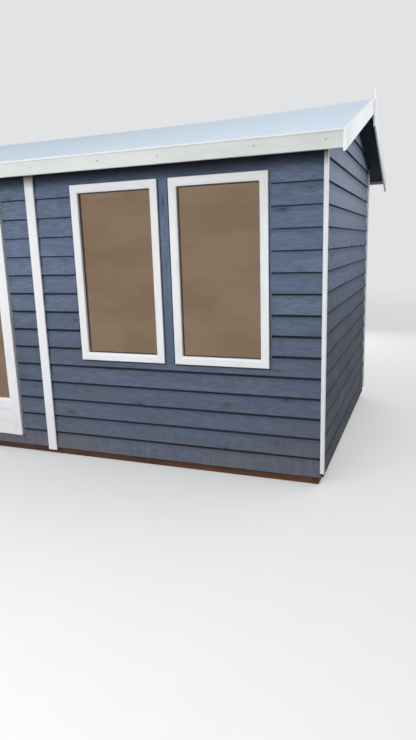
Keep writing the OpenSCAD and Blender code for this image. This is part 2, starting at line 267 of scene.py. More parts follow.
def timber_finish(name, early, late, dirt=None):
    """Bare softwood: pale and dark rings drawn out along the grain, small knots, a dull surface."""
    wood = Finish(name)
    grain = wood.stored("grain", "Vector")
    bend = wood.figure(grain, 0.9, 4.0, 2.0)
    rings = wood.figure(grain, 1.2, 55.0, 5.0, 0.6)
    knot = wood.between(wood.knots(grain, (2.2, 9.0, 9.0))["Distance"], 0.05, 0.13, 1.0, 0.0)
    colour = wood.layered(
        wood.blend(wood.between(rings * 0.7 + bend * 0.4, 0.38, 0.72), early, late),
        (knot * 0.75, dimmed(late, 0.45)),
        (wood.stored("member") * 0.22, dimmed(early, 0.62)))
    if dirt is not None:
        patch = wood.between(wood.figure(grain, 3.0, 14.0, 4.0), 0.45, 0.7)
        colour = wood.blend(patch * 0.6, colour, dirt)
    return wood.coat(colour, wood.between(rings, 0.3, 0.7, 0.62, 0.80),
                     wood.bumped(rings - knot * 0.6, 0.0004))


panel_pitch = 1.966
half_w, half_d = 1.5 * panel_pitch, 1.110
bearer_h, bearer_w, bearer_back, bearer_ease, bearer_count = 0.050, 0.045, 0.030, 0.002, 5
# Painted shade: the treated brown is darker than the timber's own.
treated = timber_finish("brown_treated_timber", tint(94, 60, 39), tint(48, 31, 23), tint(34, 27, 23))
bearers = Joinery(1)
bearer_x, bearer_y = half_w - bearer_back, half_d - bearer_back
bearer_pitch = (2 * bearer_y - bearer_w) / (bearer_count - 1)
for i in range(bearer_count):
    y = -bearer_y + i * bearer_pitch
    bearers.timber((-bearer_x + bearer_w, y, 0), (bearer_x - bearer_w, y + bearer_w, bearer_h), bearer_ease)
for s in (-1, 1):
    bearers.timber((s * bearer_x, -bearer_y, 0), (s * (bearer_x - bearer_w), bearer_y, bearer_h), bearer_ease)
bearers.fit("floor_timbers", [treated], "treated_timber", ["floor_bearers"])


# The deck is tongued boards nailed across the floor timbers, each row of two lengths. They are
# planed softwood and left bare.
clad_t = 0.018
clad_x, clad_y = half_w - clad_t, half_d - clad_t
floor_z, deck_board, deck_ease = 0.068, 0.116, 0.0018
deck_butts = (-1.4, -0.5, 0.6, 1.3)
pale_ring, dark_ring = tint(206, 172, 128), tint(168, 124, 80)
bare = timber_finish("bare_softwood", pale_ring, dark_ring)
deck = Joinery(2)
rows = round(2 * clad_y / deck_board)
for i in range(rows):
    y = -clad_y + 2 * clad_y * i / rows
    butt = deck.draw.choice(deck_butts)
    for x0, x1 in ((-clad_x, butt), (butt, clad_x)):
        deck.timber((x0, y, bearer_h), (x1, y + 2 * clad_y / rows, floor_z), deck_ease, grain_axis=0)
deck.fit("deck_boards", [bare], "bare_timber", ["floor_deck"])


# The wall framing is 45 mm square softwood: studs between a bottom rail on the deck and a rail
# under the roof, lintels over the windows and doors, all nailed and left bare inside.
stud = 0.045
half_stud = stud / 2
inner_x, inner_y = clad_x - stud, clad_y - stud
roof_angle = math.radians(16.6)
slope, plumb = math.tan(roof_angle), 1 / math.cos(roof_angle)
leaf_top, eave_z, eave_y = 1.871, 2.008, half_d + 0.260
roof_board_t, felt_t, seat = 0.015, 0.003, 0.0001
roof_t = (roof_board_t + felt_t) * plumb + 2 * seat
win_w, win_h, win_edge, win_gap = 0.622, 1.144, 0.331, 0.076
win_z = leaf_top - win_h
win_xs = (half_w - win_edge - win_w, half_w - win_edge - 2 * win_w - win_gap)
pair_low, pair_high = win_xs[1], win_xs[0] + win_w
joint_x = panel_pitch / 2
top_rail, gable_rail = 0.070, 0.060


def roof_z(y):
    """Top of the roof covering at a distance from the ridge line."""
    return eave_z + (eave_y - abs(y)) * slope


def under_z(y):
    """Underside of the roof boards."""
    return roof_z(y) - roof_t


rail_low = under_z(clad_y) - top_rail
stud_low = floor_z + stud


def bevelled_rail(wall, x0, x1, s):
    """The rail under the roof, its top bevelled to the slope; s is -1 at the front, 1 at the rear."""
    section = [(0, rail_low), (stud, rail_low), (stud, under_z(inner_y)), (0, under_z(clad_y))]
    wall.stick(section, (x0, s * clad_y, 0), (x1, s * clad_y, 0), (0, -s, 0), (0, 0, 1))


front = Joinery(3)
for s in (-1, 1):
    front.timber((s * joint_x, -clad_y, floor_z), (s * clad_x, -inner_y, stud_low))
    bevelled_rail(front, *sorted((s * joint_x, s * clad_x)), -1)
    for x0, x1, z in ((joint_x, joint_x + stud, rail_low), (clad_x - stud, clad_x, rail_low),
                      (pair_low - stud, pair_low, rail_low), (pair_high, pair_high + stud, rail_low),
                      (pair_low + win_w, win_xs[0], leaf_top)):
        front.timber((s * x0, -clad_y, stud_low), (s * x1, -inner_y, z), grain_axis=2)
    front.timber((s * pair_low, -clad_y, leaf_top), (s * pair_high, -inner_y, rail_low))
    for x in win_xs:
        front.timber((s * x, -clad_y, win_z - stud), (s * (x + win_w), -inner_y, win_z))
front.fit("front_framing", [bare], "bare_timber", ["front_frame_left", "front_frame_right"])

leaf_reach, leaf_gap, leaf_t, leaf_proud = 0.717, 0.0055, 0.040, 0.010
head_gap, lath, lath_gap = 0.006, 0.012, 0.006
leaf_y = half_d + leaf_proud
post_x, head_z, lath_y = leaf_reach + leaf_gap, leaf_top + head_gap, leaf_y - leaf_t - lath_gap
paint_stop = (0.020 - clad_y, 0.024 - clad_y)
# Outside, the posts are a darker blue than the wall boards: partly their paint, partly painted shade for the
# slot beside each door leaf. Inside they stay bare.
posts = Finish("softwood_painted_outside")
fibre = posts.figure(posts.stored("grain", "Vector"), 1.2, 55.0, 5.0, 0.6)
darker_tone = posts.blend(fibre, tint(38, 46, 62), tint(58, 68, 88))
raw = posts.blend(posts.between(fibre, 0.35, 0.7), pale_ring, dark_ring)
indoors = posts.between(posts.split(posts.place())["Y"], *paint_stop)
post_coat = posts.coat(posts.blend(indoors, darker_tone, raw), posts.between(fibre, 0.3, 0.7, 0.6, 0.78),
                       posts.bumped(fibre, 0.0004))
doorway = Joinery(4)
doorway.timber((-joint_x, -clad_y, floor_z), (joint_x, -inner_y, stud_low))
bevelled_rail(doorway, -joint_x, joint_x, -1)
doorway.timber((-post_x - stud, -clad_y, head_z), (post_x + stud, -inner_y, rail_low))
for s in (-1, 1):
    for x0, x1, z in ((post_x, post_x + stud, head_z), (joint_x - stud, joint_x, rail_low)):
        doorway.timber((s * x0, -clad_y, stud_low), (s * x1, -inner_y, z))
    doorway.timber((s * (post_x - lath), -lath_y, stud_low), (s * post_x, -inner_y, head_z))
doorway.timber((-post_x + lath, -lath_y, head_z - lath), (post_x - lath, -inner_y, head_z))
doorway.fit("doorway_framing", [post_coat], "bare_timber", ["door_frame"])

rear = Joinery(5)
rear.timber((-clad_x, inner_y, floor_z), (clad_x, clad_y, stud_low))
bevelled_rail(rear, -clad_x, clad_x, 1)
bays = 3
for panel in (-1, 0, 1):
    for i in range(bays + 1):
        x = panel * panel_pitch - joint_x + half_stud + i * (panel_pitch - stud) / bays
        x0, x1 = max(x - half_stud, -clad_x), min(x + half_stud, clad_x)
        rear.timber((x0, inner_y, stud_low), (x1, clad_y, rail_low), grain_axis=2)
rear.fit("rear_framing", [bare], "bare_timber", ["rear_frame"])

gable_studs = 5
gables = Joinery(6)
for s in (-1, 1):
    x0, x1 = sorted((s * inner_x, s * clad_x))
    gables.timber((x0, -inner_y, floor_z), (x1, inner_y, stud_low))
    for i in range(gable_studs):
        y = -inner_y + i * (2 * inner_y - stud) / (gable_studs - 1)
        z0, z1 = under_z(y) - gable_rail, under_z(y + stud) - gable_rail
        if i == gable_studs // 2:
            z0 = z1 = under_z(half_stud) - gable_rail
        gables.stick([(0, 0), (stud, 0), (stud, stud), (0, stud)], (x0, y, stud_low), (x0, y, z0),
                     (1, 0, 0), (0, 1, 0), cut_end=(0, (z1 - z0) / stud))
    section = [(0, 0), (stud, 0), (stud, -gable_rail), (0, -gable_rail)]
    for side in (-1, 1):
        gables.stick(section, (x0, side * inner_y, under_z(inner_y)), (x0, 0, under_z(0)),
                     (1, 0, 0), (0, 0, 1))
gables.fit("gable_framing", [bare], "bare_timber", ["gable_frame_left", "gable_frame_right"])


# The wall boards are sawn 150 mm boards lapped 20 mm over each other from the foot up, nailed to
# the studs and brushed outside with slate blue paint. Inside they are bare.
cover, board_h, boards_z, first_lap, courses, gable_courses = 0.125, 0.145, 0.055, 0.050, 16, 19
foot_t, back_t, recede, arris_h, arris_in = 0.0120, 0.0176, 0.0144, 0.0015, 0.0012
top_fit, least_step, bend_every = 0.0005, 0.002, 0.3
wall_top = under_z(half_d) - top_fit


def foot_of(k):
    """Foot of board k, counted from the lowest."""
    return first_lap + k * cover if k else boards_z


def bow(along):
    """How far a wall's boards stand back from a straight line."""
    return -0.0003 - 0.0003 * math.sin(1.9 * along + 1.0)


def face_out(z, foot):
    """How far a board's face stands out from the line of the laps, at a height."""
    return -recede * (z - foot) / board_h


def lap_board(wall, place, k, x0, x1, top=wall_top, hole=None, reach=None, levels=()):
    """Board k of a wall from x0 to x1. hole is an opening, and reach(z) shortens it under a slope."""
    foot = foot_of(k)
    head = min(first_lap + k * cover + board_h, top)
    across = sorted([x0, x1] + [x for x in (hole or ())[:2] if x0 < x < x1])
    up = [foot, foot + arris_h, head]
    up = sorted(up + [z for z in (hole or ())[2:] + tuple(levels) if foot + least_step < z < head])
    xs = [across[0]]
    for p, q in zip(across, across[1:]):
        n = max(1, math.ceil((q - p) / bend_every))
        xs += [p + (q - p) * i / n for i in range(1, n + 1)]
    wall.saw()
    wander = wall.draw.uniform(0, 6)
    made = {}

    def at(i, j, back):
        if (i, j, back) not in made:
            x, z = xs[i], up[j]
            if reach:
                x *= reach(z)
            out = -foot_t - (back_t - foot_t) * (z - foot) / board_h if back else face_out(z, foot)
            if j == 0 and not back:
                out -= arris_in
            lift = 0.0008 * math.sin(1.7 * x + wander) if z <= foot + arris_h and k else 0
            point = place(x, z + lift, out + bow(x))
            made[i, j, back] = wall.corner(point, x, z - foot, out, z - first_lap - k * cover)
        return made[i, j, back]

    def kept(i, j):
        if not (0 <= i < len(xs) - 1 and 0 <= j < len(up) - 1):
            return False
        x, z = (xs[i] + xs[i + 1]) / 2, (up[j] + up[j + 1]) / 2
        return not hole or not (hole[0] < x < hole[1] and hole[2] < z < hole[3])

    for i in range(len(xs) - 1):
        for j in range(len(up) - 1):
            if not kept(i, j):
                continue
            wall.bm.faces.new((at(i, j, 0), at(i + 1, j, 0), at(i + 1, j + 1, 0), at(i, j + 1, 0)))
            inside = wall.bm.faces.new((at(i, j, 1), at(i, j + 1, 1), at(i + 1, j + 1, 1), at(i + 1, j, 1)))
            inside.material_index = 1
            for di, dj, p, q in ((-1, 0, (i, j), (i, j + 1)), (1, 0, (i + 1, j), (i + 1, j + 1)),
                                 (0, -1, (i, j), (i + 1, j)), (0, 1, (i, j + 1), (i + 1, j + 1))):
                if not kept(i + di, j + dj):
                    wall.bm.faces.new((at(*p, 0), at(*q, 0), at(*q, 1), at(*p, 1)))


def blue_finish(name, lip_h, shade_h, shade, low_shade, top_light, eave_shade, shine):
    """Slate blue wood paint: thin enough for grain and knots to show, soiled low down, light and shade
    painted in.

    lip_h is how far up from a lap its painted dark line reaches, shade_h where the painted shade under
    a lap begins on the board below and shade how deep it is. The next three paint shade on the lower
    boards, light on the upper ones and shade under the eaves; shine is how glossy the paint still is.
    """
    blue = Finish(name)
    grain, lapped, place = blue.stored("grain", "Vector"), blue.stored("above_lap"), blue.place()
    height = blue.split(place)["Z"]
    fine = blue.figure(grain, 5.0, 160.0, 4.0, 0.6)
    streak = blue.figure(grain, 1.6, 34.0, 4.0, 0.55)
    patch = blue.figure(grain, 2.6, 9.0)
    mottle = blue.figure(grain, 14.0, 62.0, 4.0, 0.65)
    knots = blue.knots(grain, (3.0, 7.5, 1.0), "2D")
    some = blue.between(blue.node("SeparateColor", None, {0: knots["Color"]})["Red"], 0.45, 0.95)
    knot = blue.between(knots["Distance"], 0.030, 0.075, 1.0, 0.0)
    smudge = blue.between(knots["Distance"], 0.03, 0.26, 1.0, 0.0)
    rain = blue.cloud(blue.stretch(place, (58.0, 58.0, 3.2)), 1.0, 4.0, 0.65)
    worn = blue.between(blue.cloud(blue.stretch(place, (2.2, 2.2, 4.0)), 1.0, 4.0, 0.6), 0.46, 0.66)
    low = blue.between(height, 0.05, 0.75, 1.0, 0.0)
    mud = blue.between(height + patch * 0.10, 0.16, 0.30, 1.0, 0.0)
    streaks = blue.between(rain, 0.36, 0.66) * 0.36 + worn * 0.30 + 0.06
    # Under the eaves the lap lines give way to the painted shade there.
    in_sight = blue.between(height, 1.88, 1.90, 1.0, 1.0 - eave_shade)
    high_up = blue.between(height, 0.8, 1.6)
    # Painted shade at the laps: each board darkens at its top under the lap above, and a dark line is painted
    # at each board's foot.
    shaded = blue.between(lapped, shade_h, shade_h + 0.038)
    lap_shadow = blue.between(lapped - high_up * 0.006, 0.110, 0.120)
    lip = blue.between(lapped + high_up * (lip_h - 0.001), lip_h, lip_h + 0.0035, 1.0, 0.0)
    lap_dark = tint(7, 9, 14)
    colour = blue.layered(
        blue.blend(blue.between(patch, 0.3, 0.7), tint(98, 112, 135), tint(119, 133, 155)),
        (blue.between(mottle, 0.38, 0.64, 0.55, 0.0), tint(76, 88, 110)),
        (blue.between(mottle, 0.48, 0.68) * 0.15, tint(136, 148, 164)),
        (blue.between(streak, 0.35, 0.75) * 0.35, tint(78, 92, 116)),
        (blue.between(fine, 0.45, 0.8) * 0.22, tint(128, 140, 158)),
        (blue.stored("member") * 0.30, tint(82, 97, 121)),
        (smudge * some * 0.48, tint(66, 66, 84)),
        (knot * some * 0.75, tint(44, 48, 60)),
        # Painted shade: the boards darken towards the bottom of the wall.
        (blue.between(height, 0.7, 1.5, low_shade, 0.0), tint(66, 72, 84)),
        # Painted light: the boards grow paler towards the top of the wall.
        (blue.between(height, 1.40, 1.85, 0.0, top_light), tint(136, 146, 162)),
        # Painted shade: the boards under the eaves are darkened.
        (blue.between(height, 1.83, 1.97, 0.0, eave_shade), tint(24, 27, 34)),
        (low * worn * 0.42, tint(92, 84, 94)),
        (low * blue.between(rain, 0.46, 0.72) * 0.3, tint(112, 109, 113)),
        (mud * streaks, tint(112, 106, 110)),
        (shaded * in_sight * shade, tint(50, 56, 70)),
        (lap_shadow * in_sight, lap_dark),
        (lip * in_sight, lap_dark))
    roughness = blue.between(patch + fine * 0.3, 0.3, 0.9, 0.56, 0.72) + mud * 0.12
    return blue.coat(colour, roughness, blue.bumped(fine * 0.5 + streak * 0.8 - knot * 0.5, 0.0006),
                     Specular_IOR_Level=shine)


blue = blue_finish("slate_blue_paint", lip_h=0.0052, shade_h=0.080, shade=0.22, low_shade=0.5,
                   top_light=0.0, eave_shade=0.9, shine=0.4)


def on_long_wall(sx, sy):
    """Places points on a long wall: sy is -1 at the front, and sx is -1 where left and right swap."""
    return lambda x, z, out: (sx * x, sy * (half_d + out), z)


on_front, on_front_left, on_rear = on_long_wall(1, -1), on_long_wall(-1, -1), on_long_wall(1, 1)
slip = 0.014
opening = (pair_low - slip, pair_high + slip, win_z, leaf_top)
for s, name, place in ((-1, "left", on_front_left), (1, "right", on_front)):
    wall = Joinery(10 + s)
    for k in range(courses):
        lap_board(wall, place, k, joint_x, clad_x, hole=opening)
    wall.fit("lapped_boards_front_" + name, [blue, bare], "blue_painted_timber", ["front_boards_" + name])

beside_x = post_x + 0.0065
beside = Joinery(14)
for place in (on_front, on_front_left):
    for k in range(courses):
        lap_board(beside, place, k, beside_x, joint_x)
beside.fit("lapped_boards_beside_doors", [blue, bare], "blue_painted_timber", ["door_side_boards"])
over_gap = 0.012
over = Joinery(15)
for k in (courses - 2, courses - 1):
    lap_board(over, on_front, k, -beside_x, beside_x, hole=(-half_w, half_w, 0, leaf_top + over_gap))
over.fit("lapped_boards_over_doors", [blue, bare], "blue_painted_timber", ["door_head_boards"])
sill_top = 0.116
sill = Joinery(16)
sill.timber((-beside_x, -half_d, boards_z), (beside_x, -clad_y, sill_top))
sill.fit("sill_board", [blue], "blue_painted_timber", ["door_sill_board"])

back_wall = Joinery(17)
for x0, x1 in ((-clad_x, -joint_x), (-joint_x, joint_x), (joint_x, clad_x)):
    for k in range(courses):
        lap_board(back_wall, on_rear, k, x0, x1)
back_wall.fit("lapped_boards_rear", [blue, bare], "blue_painted_timber", ["rear_boards"])


def gable_reach(z):
    """Share of a gable board's full length that is left under the roof at a height."""
    return max(0.004, min(1.0, (under_z(0) - top_fit - z) / slope / clad_y))


def on_gable(s):
    return lambda y, z, out: (s * (half_w + out), y, z)


# The gables carry more painted shade low down and painted light over their upper boards.
gable_blue = blue_finish("slate_blue_paint_on_gables", lip_h=0.0105, shade_h=0.070, shade=0.30, low_shade=0.9,
                         top_light=0.6, eave_shade=0.0, shine=0.15)
for s, name in ((-1, "left"), (1, "right")):
    wall = Joinery(20 + s)
    for k in range(gable_courses):
        lap_board(wall, on_gable(s), k, -clad_y, clad_y, under_z(0) - 3 * top_fit,
                  reach=gable_reach, levels=(under_z(clad_y) - top_fit,))
    wall.fit("lapped_boards_gable_" + name, [gable_blue, bare], "blue_painted_timber",
             ["gable_boards_" + name])


# Every board is held at each stud by a galvanised nail near its foot. The nails were painted over
# with the boards, and their heads stand just proud of them, specked with rust and coloured darker
# than the boards as painted shade of a sunk head.
nail_r, nail_in, nail_h, under_slope = 0.0028, 0.0008, 0.0016, 0.01
nail_up, astray = (0.030, 0.040), (-0.006, 0.006)
nails = Joinery(30)
disc = [(nail_r * math.cos(a * math.pi / 4), nail_r * math.sin(a * math.pi / 4)) for a in range(8)]


def nail(place, along, z, foot, towards):
    """One nail head on a lapped board; towards is the way the wall faces."""
    out = face_out(z, foot) + bow(along)
    start = Vector(place(along, z, out - nail_in))
    side = (0, 1, 0) if towards[0] else (1, 0, 0)
    nails.stick(disc, start, start + Vector(towards) * nail_h, side, (0, 0, 1))


end_nails, post_nails = clad_x - 0.018, post_x + 0.03
front_nails = (joint_x + 0.055, 1.275, 1.958, 2.641, end_nails)
rear_nails = (0.32, 1.05, 1.63, 2.27, end_nails)
gable_nails = (-1.07, -0.512, 0.0, 0.512, 1.07)
beside_windows, window_courses = 0.02, range(5, 15)
for k in range(courses):
    foot = foot_of(k)
    for s in (-1, 1):
        for x in front_nails:
            if k in window_courses and pair_low - beside_windows < x < pair_high + beside_windows:
                continue
            nail(on_front, s * (x + nails.draw.uniform(*astray)),
                 foot + nails.draw.uniform(*nail_up), foot, (0, -1, 0))
        nail(on_front, s * post_nails, foot + nails.draw.uniform(*nail_up), foot, (0, -1, 0))
        for x in rear_nails:
            nail(on_rear, s * (x + nails.draw.uniform(*astray)),
                 foot + nails.draw.uniform(*nail_up), foot, (0, 1, 0))
for k in range(gable_courses - 1):
    foot = foot_of(k)
    for s in (-1, 1):
        for y in gable_nails:
            z = foot + nails.draw.uniform(*nail_up)
            if abs(y) < clad_y * gable_reach(z) - under_slope:
                nail(on_gable(s), y, z, foot, (s, 0, 0))


def speckled_finish(name, scale, first, second, smooth, rough, depth=0.0004):
    """A small part's skin in fine specks of two colours, rougher where the second one shows."""
    skin = Finish(name)
    speck = skin.cloud(skin.place(), scale)
    return skin.coat(skin.blend(speck, first, second), skin.between(speck, 0.3, 0.7, smooth, rough),
                     skin.bumped(speck, depth))


# Painted shade: the heads are darker than the boards around them.
nail_paint_and_shade = speckled_finish("painted_nail_heads", 300.0, tint(52, 58, 72), tint(96, 84, 80), 0.4, 0.7)
nails.fit("board_nails", [nail_paint_and_shade], "blue_painted_timber")


# Planed strips cover the joints between the wall panels, and a square batten fills each corner.
# They are nailed on last and painted white, as all the trim is.
def white_finish(name, pale, warm, soil, darker_tone=0.0):
    """Satin white paint on planed timber: brushed, a little yellow over knots, soiled low down."""
    white = Finish(name)
    grain = white.stored("grain", "Vector")
    height = white.split(white.place())["Z"]
    brush = white.figure(grain, 4.0, 170.0, 3.0, 0.6)
    patch = white.figure(grain, 3.0, 14.0, 4.0, 0.6)
    splash = white.between(white.figure(grain, 5.0, 16.0, 4.0, 0.6), 0.42, 0.72)
    knot = white.between(white.knots(grain, (2.0, 11.0, 1.0), "2D")["Distance"], 0.04, 0.2, 1.0, 0.0)
    low = white.between(height, 0.04, 0.60, 1.0, 0.0)
    colour = white.layered(
        white.blend(white.between(patch, 0.35, 0.7), pale, warm),
        (knot * 0.14, tint(198, 188, 162)),
        (white.stored("member") * 0.18, warm),
        (white.between(brush, 0.55, 0.85) * 0.12, soil),
        # Darker and warmer just under the eaves.
        (white.between(height, 1.86, 1.94, 0.0, darker_tone), tint(178, 166, 140)),
        (low * (splash * 0.14 + 0.07), soil))
    return white.coat(colour, white.between(brush, 0.3, 0.7, 0.36, 0.52),
                      white.bumped(brush * 0.6 + patch * 0.3 - knot * 0.2, 0.0004))


whites = (tint(238, 240, 243), tint(231, 232, 232), tint(156, 150, 142))
white = white_finish("white_trim_paint", *whites)
strip_white = white_finish("white_strip_paint", *whites, darker_tone=0.6)
strip_w, strip_t, strip_ease, strip_z, corner_z, corner_proud = 0.070, 0.014, 0.003, 0.041, 0.086, 0.007
batten, strip_y = clad_t + corner_proud, half_d + 2 * seat
strips, corners = Joinery(40), Joinery(41)
for sx in (-1, 1):
    for sy in (-1, 1):
        x, y = sx * joint_x - strip_w / 2, sy * strip_y
        strips.stick(eased(strip_w, strip_t, strip_ease), (x, y, strip_z), (x, y, under_z(half_d)),
                     (1, 0, 0), (0, sy, 0), cut_end=(0, -slope))
        x, y = sx * clad_x, sy * clad_y
        corners.stick(eased(batten, batten, strip_ease), (x, y, corner_z), (x, y, under_z(clad_y)),
                      (sx, 0, 0), (0, sy, 0), cut_end=(0, -slope))
strips.fit("joint_strips", [strip_white], "white_painted_timber", ["cover_strips"])
corners.fit("corner_trim", [strip_white], "white_painted_timber", ["corner_battens"])


# Four fixed windows: mitred white frames set between the studs, each with one pane let into a
# groove and bedded in dark sealant. Sealant strips close the joints at the frame's sides and foot,
# made dark as painted shade for the gaps there.
# A plain blue board stands between the two of a pair.
win_face, win_t, win_ease, glass_t, glass_set, groove_h = 0.052, 0.045, 0.002, 0.004, 0.026, 0.008


def grooved(face, depth, height):
    """The part of a section that holds a pane: a groove of a height, its front edge at a depth."""
    front_edge, back_edge = depth - 2 * seat, depth + glass_t + 2 * seat
    return [(face, front_edge), (face - height, front_edge), (face - height, back_edge), (face, back_edge)]


frame_section = [(0, win_ease), (win_ease, 0), (win_face - 0.013, 0), (win_face - 0.002, 0.004),
                 (win_face, 0.007), *grooved(win_face, glass_set, groove_h),
                 (win_face, win_t - win_ease), (win_face - win_ease, win_t), (win_ease, win_t),
                 (0, win_t - win_ease)]
sealant_line = [(win_face - 0.001, glass_set - 0.0045), (win_face + 0.0015, glass_set - 0.0035),
                (win_face + 0.0065, glass_set - 0.0003), (win_face - 0.001, glass_set - 0.0003)]
# The sealant is made very dark, partly as painted shade where it fills the gaps round the frames.
sealant = speckled_finish("dark_glazing_sealant", 90.0, tint(24, 24, 26), tint(56, 54, 52), 0.45, 0.7, 0.0005)


def mitred(made, section, x0, x1, z0, z1, y, members=(0, 1, 2, 3)):
    """Members meeting in mitres round a rectangle, 0 at its foot; the section runs inwards and back."""
    corners = [(x0, z0), (x1, z0), (x1, z1), (x0, z1)]
    inward = [(0, 1), (-1, 0), (0, -1), (1, 0)]
    for i in members:
        (ax, az), (bx, bz), (sx, sz) = corners[i], corners[(i + 1) % 4], inward[i]
        made.stick(section, (ax, y, az), (bx, y, bz), (sx, 0, sz), (0, 1, 0), (1, 0), (-1, 0))


seal_w, seal_h, seal_ease, seal_y = 0.004, 0.012, 0.001, 0.0035 - half_d
for s, name in ((-1, "left"), (1, "right")):
    frames = Joinery(50 + s)
    seals_and_gap_shade = Joinery(60 + s)
    for x in win_xs:
        x0, x1 = sorted((s * x, s * (x + win_w)))
        mitred(frames, frame_section, x0, x1, win_z, leaf_top, -leaf_y)
        mitred(seals_and_gap_shade, sealant_line, x0, x1, win_z, leaf_top, -leaf_y)
        # Painted shade: dark strips under and beside the frame stand for the shadow gaps there.
        seals_and_gap_shade.timber((x0 - seal_w, seal_y, win_z - seal_h), (x1 + seal_w, -clad_y, win_z), seal_ease)
        for seal_x in (x0 - seal_w, x1):
            seals_and_gap_shade.timber((seal_x, seal_y, win_z), (seal_x + seal_w, -clad_y, leaf_top), seal_ease)
    frames.fit("window_joinery_" + name, [white], "white_painted_timber", ["window_frames_" + name])
    seals_and_gap_shade.fit("window_sealant_" + name, [sealant], "white_painted_timber")
joint_w, slip_in, joint_in = 0.010, 0.006, 0.007
between = Joinery(55)
for s in (-1, 1):
    between.timber((s * (pair_low + win_w + joint_w), -half_d, win_z),
                   (s * (win_xs[0] - joint_w), -clad_y, leaf_top))
    for x, w, set_in in ((pair_low - slip, slip, slip_in), (pair_high, slip, slip_in),
                         (pair_low + win_w, joint_w, joint_in), (win_xs[0] - joint_w, joint_w, joint_in)):
        between.timber((s * x, set_in - half_d, win_z), (s * (x + w), -clad_y, leaf_top), 0.001)
between.fit("boards_between_windows", [blue], "blue_painted_timber", ["window_mullions"])

# Painted reflection: the panes' tan tint and partly metal sheen stand in for a brick wall reflected in them.
glass = Finish("window_glass")
reflection_patches = glass.cloud(glass.stretch(glass.place(), (2.0, 2.0, 5.0)), 1.0, 4.0, 0.6)
colour = glass.blend(glass.between(reflection_patches, 0.35, 0.65), tint(181, 155, 128), tint(170, 143, 116))
pane = glass.coat(colour, glass.between(reflection_patches, 0.4, 0.75, 0.03, 0.12),
                  glass.bumped(glass.cloud(glass.place(), 3.0, 1.0), 0.002),
                  Metallic=0.6, Transmission_Weight=1.0, IOR=1.5)


def refinish(nodes, finish):
    """Gives nodes of the frame that are right as they stand their own finish."""
    for name in nodes:
        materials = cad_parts[name].data.materials
        materials.clear()
        materials.append(finish)


refinish(["window_glass_left", "window_glass_right", "door_glass_left", "door_glass_right"], pane)


# Each door leaf is two full-height stiles with rails tenoned between them, a bead round the glass,
# and below the middle rail two lying boards with soft grooves between them.
leaf_z, leaf_x0, leaf_ease, rail_back = 0.124, 0.004, 0.002, 0.0006
stile_w, bead_w, door_glass_set = 0.070, 0.022, 0.014
foot_top, board_top, mid_top = 0.207, 0.318, 0.403
board_in, board_back, board_ease = 0.004, 0.018, 0.003
bead_low, bead_high = mid_top - bead_w, leaf_top - stile_w
stile_x0, stile_x1 = leaf_x0 + stile_w, leaf_reach - stile_w
bead_section = [(0, 0.003), (0.005, 0.0015), (0.013, 0.004), (bead_w - 0.002, 0.010),
                *grooved(bead_w, door_glass_set, 0.009), (bead_w, leaf_t - 0.010),
                (bead_w - 0.004, leaf_t - 0.006), (0, leaf_t - 0.003)]
flat_section = [(0, 0.004), (0.002, 0.0035), (bead_w - 0.002, 0.009),
                *grooved(bead_w, door_glass_set, 0.009), (bead_w, leaf_t - 0.008), (0.002, leaf_t - 0.004)]
for s, name, body in ((-1, "left", "door_left"), (1, "right", "door_right")):
    leaf = Joinery(70 + s)
    y0, y1 = -leaf_y, -leaf_y + leaf_t
    for x0, x1 in ((leaf_x0, stile_x0), (stile_x1, leaf_reach)):
        leaf.timber((s * x0, y0, leaf_z), (s * x1, y1, leaf_top), leaf_ease)
    for z0, z1 in ((leaf_z, foot_top), (board_top, bead_low), (bead_high, leaf_top)):
        leaf.timber((s * stile_x0, y0 + rail_back, z0), (s * stile_x1, y1 - rail_back, z1), leaf_ease)
    x0, x1 = sorted((s * stile_x0, s * stile_x1))
    mitred(leaf, bead_section, x0, x1, bead_low, bead_high, y0, members=(1, 2, 3))
    mitred(leaf, flat_section, x0, x1, bead_low, bead_high, y0, members=(0,))
    leaf.fit("door_joinery_" + name, [white], "white_painted_timber", ["door_leaf_" + name], body)
    boards = Joinery(80 + s)
    middle = (foot_top + board_top) / 2
    for z0, z1 in ((foot_top, middle), (middle, board_top)):
        boards.timber((x0, y0 + board_in, z0), (x1, y0 + board_back, z1), board_ease)
    boards.fit("door_boards_" + name, [white], "white_painted_timber", ["door_panel_" + name], body)


# The leaves hang on three butt hinges each, painted over with the doors, and close on a lever
# handle with a long plate on both faces, of brushed steel.
steel = Finish("brushed_steel")
brushing = steel.cloud(steel.stretch(steel.place(), (60.0, 60.0, 900.0)), 1.0, 3.0, 0.6)
tarnish = steel.cloud(steel.place(), 22.0, 4.0, 0.6)
colour = steel.blend(steel.between(tarnish, 0.4, 0.7), tint(178, 178, 176), tint(132, 130, 126))
steel_coat = steel.coat(colour, steel.between(brushing, 0.3, 0.7, 0.24, 0.42) + tarnish * 0.1,
                        steel.bumped(brushing, 0.0001), Metallic=1.0)
refinish(["door_handle"], steel_coat)
hinge_paint = Finish("painted_over_hinges")
chip = hinge_paint.between(hinge_paint.cloud(hinge_paint.place(), 60.0, 4.0, 0.7), 0.60, 0.64)
skin = hinge_paint.cloud(hinge_paint.place(), 300.0, 2.0)
hinge_coat = hinge_paint.coat(hinge_paint.blend(chip, tint(228, 228, 226), tint(132, 128, 122)),
                              hinge_paint.between(skin, 0.3, 0.7, 0.38, 0.55),
                              hinge_paint.bumped(skin * 0.3 - chip * 0.7, 0.0003))
refinish(["hinge_plates", "hinges_left", "hinges_right"], hinge_coat)


# The roof is carried inside by a beam at the ridge and a purlin down each side, which rest on the
# gables and on a truss at each panel joint: two rafters and a collar. Between the gables the roof
# has sunk a little, most along the ridge.
ridge_sag, fascia_t, sag_steps = 0.028, 0.020, 24


